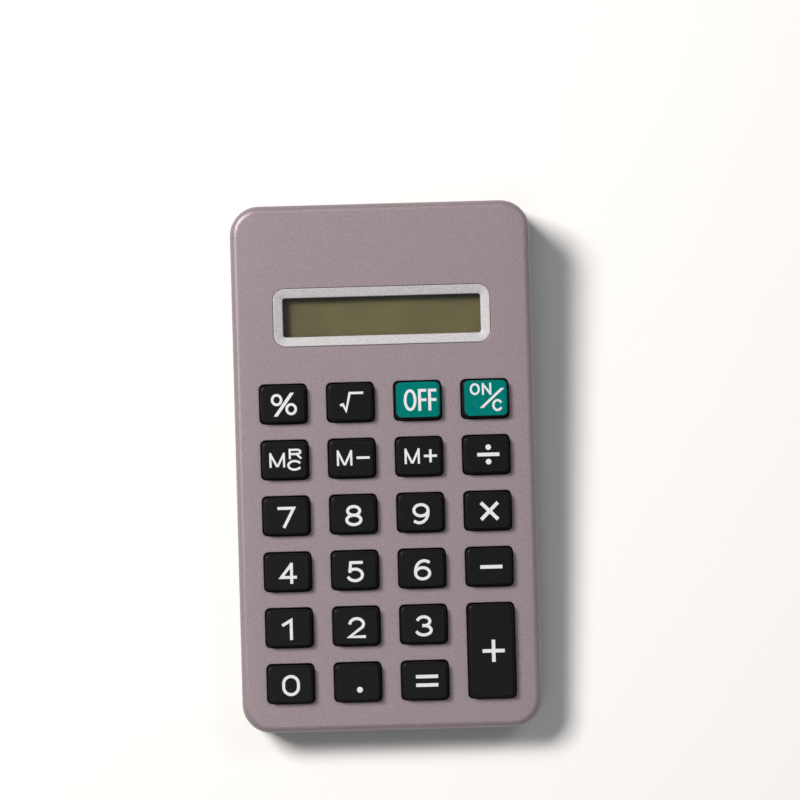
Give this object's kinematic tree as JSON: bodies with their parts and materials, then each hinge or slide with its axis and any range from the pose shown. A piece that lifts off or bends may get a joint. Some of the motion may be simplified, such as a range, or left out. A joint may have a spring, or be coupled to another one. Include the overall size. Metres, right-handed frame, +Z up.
{
  "type": "pocket calculator",
  "caption": "Pocket calculator with a wedge-shaped silver case, sprung rubber keys, a small display and a sliding battery door on the back.",
  "frame": {"origin": "centre of the footprint, on the surface that the feet stand on", "axes": "+Z up, +Y from the lower end towards the display end, +X to the user's right"},
  "size_m": [0.067, 0.1186, 0.0199],
  "materials": {
    "silver_painted_abs": "satin metallic silver paint on moulded ABS",
    "bright_silver_abs": "bright silver paint",
    "grey_moulded_abs": "fine moulded texture",
    "clear_acrylic": "clear, polished",
    "display_glass": "polished, with polariser film",
    "reflector_foil": "matt brushed foil",
    "natural_abs": "plain moulded",
    "black_silicone": "matt moulded rubber with white printed legend",
    "green_silicone": "green print on black moulded rubber, white legend",
    "conductive_rubber": "matt",
    "phenolic_board": "paper-phenolic laminate with copper tracks",
    "black_epoxy": "cast resin",
    "plated_steel": "nickel plated",
    "cell_jacket": "printed foil jacket",
    "red_pvc": "extruded",
    "black_pvc": "extruded"
  },
  "bodies": {
    "case": {"front_shell": "silver_painted_abs", "rear_shell": "grey_moulded_abs", "display_bezel": "bright_silver_abs", "display_lens": "clear_acrylic", "lcd_front_glass": "display_glass", "lcd_rear_glass": "display_glass", "lcd_reflector": "reflector_foil", "lcd_holder": "natural_abs", "zebra_connector": "conductive_rubber", "circuit_board": "phenolic_board", "chip_glob_top": "black_epoxy", "capacitor": "black_pvc", "resistor": "natural_abs", "keypad_mat": "black_silicone", "battery_cell": "cell_jacket", "battery_negative_spring": "plated_steel", "battery_negative_plate": "plated_steel", "battery_positive_contact": "plated_steel", "lead_red": "red_pvc", "lead_black": "black_pvc", "case_screw_1": "plated_steel", "foot_1": "black_silicone", "case_screw_2": "plated_steel", "foot_2": "black_silicone", "case_screw_3": "plated_steel", "foot_3": "black_silicone", "case_screw_4": "plated_steel", "foot_4": "black_silicone", "board_screw_1": "plated_steel", "board_screw_2": "plated_steel", "board_screw_3": "plated_steel", "board_screw_4": "plated_steel", "board_screw_5": "plated_steel"},
    "battery_door": {"battery_door": "grey_moulded_abs"},
    "key_percent": {"key_percent": "black_silicone"},
    "key_root": {"key_root": "black_silicone"},
    "key_off": {"key_off": "green_silicone"},
    "key_on_clear": {"key_on_clear": "green_silicone"},
    "key_memory_recall": {"key_memory_recall": "black_silicone"},
    "key_memory_minus": {"key_memory_minus": "black_silicone"},
    "key_memory_plus": {"key_memory_plus": "black_silicone"},
    "key_divide": {"key_divide": "black_silicone"},
    "key_7": {"key_7": "black_silicone"},
    "key_8": {"key_8": "black_silicone"},
    "key_9": {"key_9": "black_silicone"},
    "key_multiply": {"key_multiply": "black_silicone"},
    "key_4": {"key_4": "black_silicone"},
    "key_5": {"key_5": "black_silicone"},
    "key_6": {"key_6": "black_silicone"},
    "key_minus": {"key_minus": "black_silicone"},
    "key_1": {"key_1": "black_silicone"},
    "key_2": {"key_2": "black_silicone"},
    "key_3": {"key_3": "black_silicone"},
    "key_plus": {"key_plus": "black_silicone"},
    "key_0": {"key_0": "black_silicone"},
    "key_point": {"key_point": "black_silicone"},
    "key_equals": {"key_equals": "black_silicone"}
  },
  "joints": [
    {"name": "battery_door_slide", "type": "slide", "parent": "case", "child": "battery_door", "axis": [0, 1, 0], "range_m": [0, 0.018]},
    {"name": "key_percent_press", "type": "slide", "parent": "case", "child": "key_percent", "axis": [0, 0.0672, -0.9977], "range_m": [0, 0.001], "stiffness_N_per_m": 500},
    {"name": "key_root_press", "type": "slide", "parent": "case", "child": "key_root", "axis": [0, 0.0672, -0.9977], "range_m": [0, 0.001], "stiffness_N_per_m": 500},
    {"name": "key_off_press", "type": "slide", "parent": "case", "child": "key_off", "axis": [0, 0.0672, -0.9977], "range_m": [0, 0.001], "stiffness_N_per_m": 500},
    {"name": "key_on_clear_press", "type": "slide", "parent": "case", "child": "key_on_clear", "axis": [0, 0.0672, -0.9977], "range_m": [0, 0.001], "stiffness_N_per_m": 500},
    {"name": "key_memory_recall_press", "type": "slide", "parent": "case", "child": "key_memory_recall", "axis": [0, 0.0672, -0.9977], "range_m": [0, 0.001], "stiffness_N_per_m": 500},
    {"name": "key_memory_minus_press", "type": "slide", "parent": "case", "child": "key_memory_minus", "axis": [0, 0.0672, -0.9977], "range_m": [0, 0.001], "stiffness_N_per_m": 500},
    {"name": "key_memory_plus_press", "type": "slide", "parent": "case", "child": "key_memory_plus", "axis": [0, 0.0672, -0.9977], "range_m": [0, 0.001], "stiffness_N_per_m": 500},
    {"name": "key_divide_press", "type": "slide", "parent": "case", "child": "key_divide", "axis": [0, 0.0672, -0.9977], "range_m": [0, 0.001], "stiffness_N_per_m": 500},
    {"name": "key_7_press", "type": "slide", "parent": "case", "child": "key_7", "axis": [0, 0.0672, -0.9977], "range_m": [0, 0.001], "stiffness_N_per_m": 500},
    {"name": "key_8_press", "type": "slide", "parent": "case", "child": "key_8", "axis": [0, 0.0672, -0.9977], "range_m": [0, 0.001], "stiffness_N_per_m": 500},
    {"name": "key_9_press", "type": "slide", "parent": "case", "child": "key_9", "axis": [0, 0.0672, -0.9977], "range_m": [0, 0.001], "stiffness_N_per_m": 500},
    {"name": "key_multiply_press", "type": "slide", "parent": "case", "child": "key_multiply", "axis": [0, 0.0672, -0.9977], "range_m": [0, 0.001], "stiffness_N_per_m": 500},
    {"name": "key_4_press", "type": "slide", "parent": "case", "child": "key_4", "axis": [0, 0.0672, -0.9977], "range_m": [0, 0.001], "stiffness_N_per_m": 500},
    {"name": "key_5_press", "type": "slide", "parent": "case", "child": "key_5", "axis": [0, 0.0672, -0.9977], "range_m": [0, 0.001], "stiffness_N_per_m": 500},
    {"name": "key_6_press", "type": "slide", "parent": "case", "child": "key_6", "axis": [0, 0.0672, -0.9977], "range_m": [0, 0.001], "stiffness_N_per_m": 500},
    {"name": "key_minus_press", "type": "slide", "parent": "case", "child": "key_minus", "axis": [0, 0.0672, -0.9977], "range_m": [0, 0.001], "stiffness_N_per_m": 500},
    {"name": "key_1_press", "type": "slide", "parent": "case", "child": "key_1", "axis": [0, 0.0672, -0.9977], "range_m": [0, 0.001], "stiffness_N_per_m": 500},
    {"name": "key_2_press", "type": "slide", "parent": "case", "child": "key_2", "axis": [0, 0.0672, -0.9977], "range_m": [0, 0.001], "stiffness_N_per_m": 500},
    {"name": "key_3_press", "type": "slide", "parent": "case", "child": "key_3", "axis": [0, 0.0672, -0.9977], "range_m": [0, 0.001], "stiffness_N_per_m": 500},
    {"name": "key_plus_press", "type": "slide", "parent": "case", "child": "key_plus", "axis": [0, 0.0672, -0.9977], "range_m": [0, 0.001], "stiffness_N_per_m": 500},
    {"name": "key_0_press", "type": "slide", "parent": "case", "child": "key_0", "axis": [0, 0.0672, -0.9977], "range_m": [0, 0.001], "stiffness_N_per_m": 500},
    {"name": "key_point_press", "type": "slide", "parent": "case", "child": "key_point", "axis": [0, 0.0672, -0.9977], "range_m": [0, 0.001], "stiffness_N_per_m": 500},
    {"name": "key_equals_press", "type": "slide", "parent": "case", "child": "key_equals", "axis": [0, 0.0672, -0.9977], "range_m": [0, 0.001], "stiffness_N_per_m": 500}
  ]
}
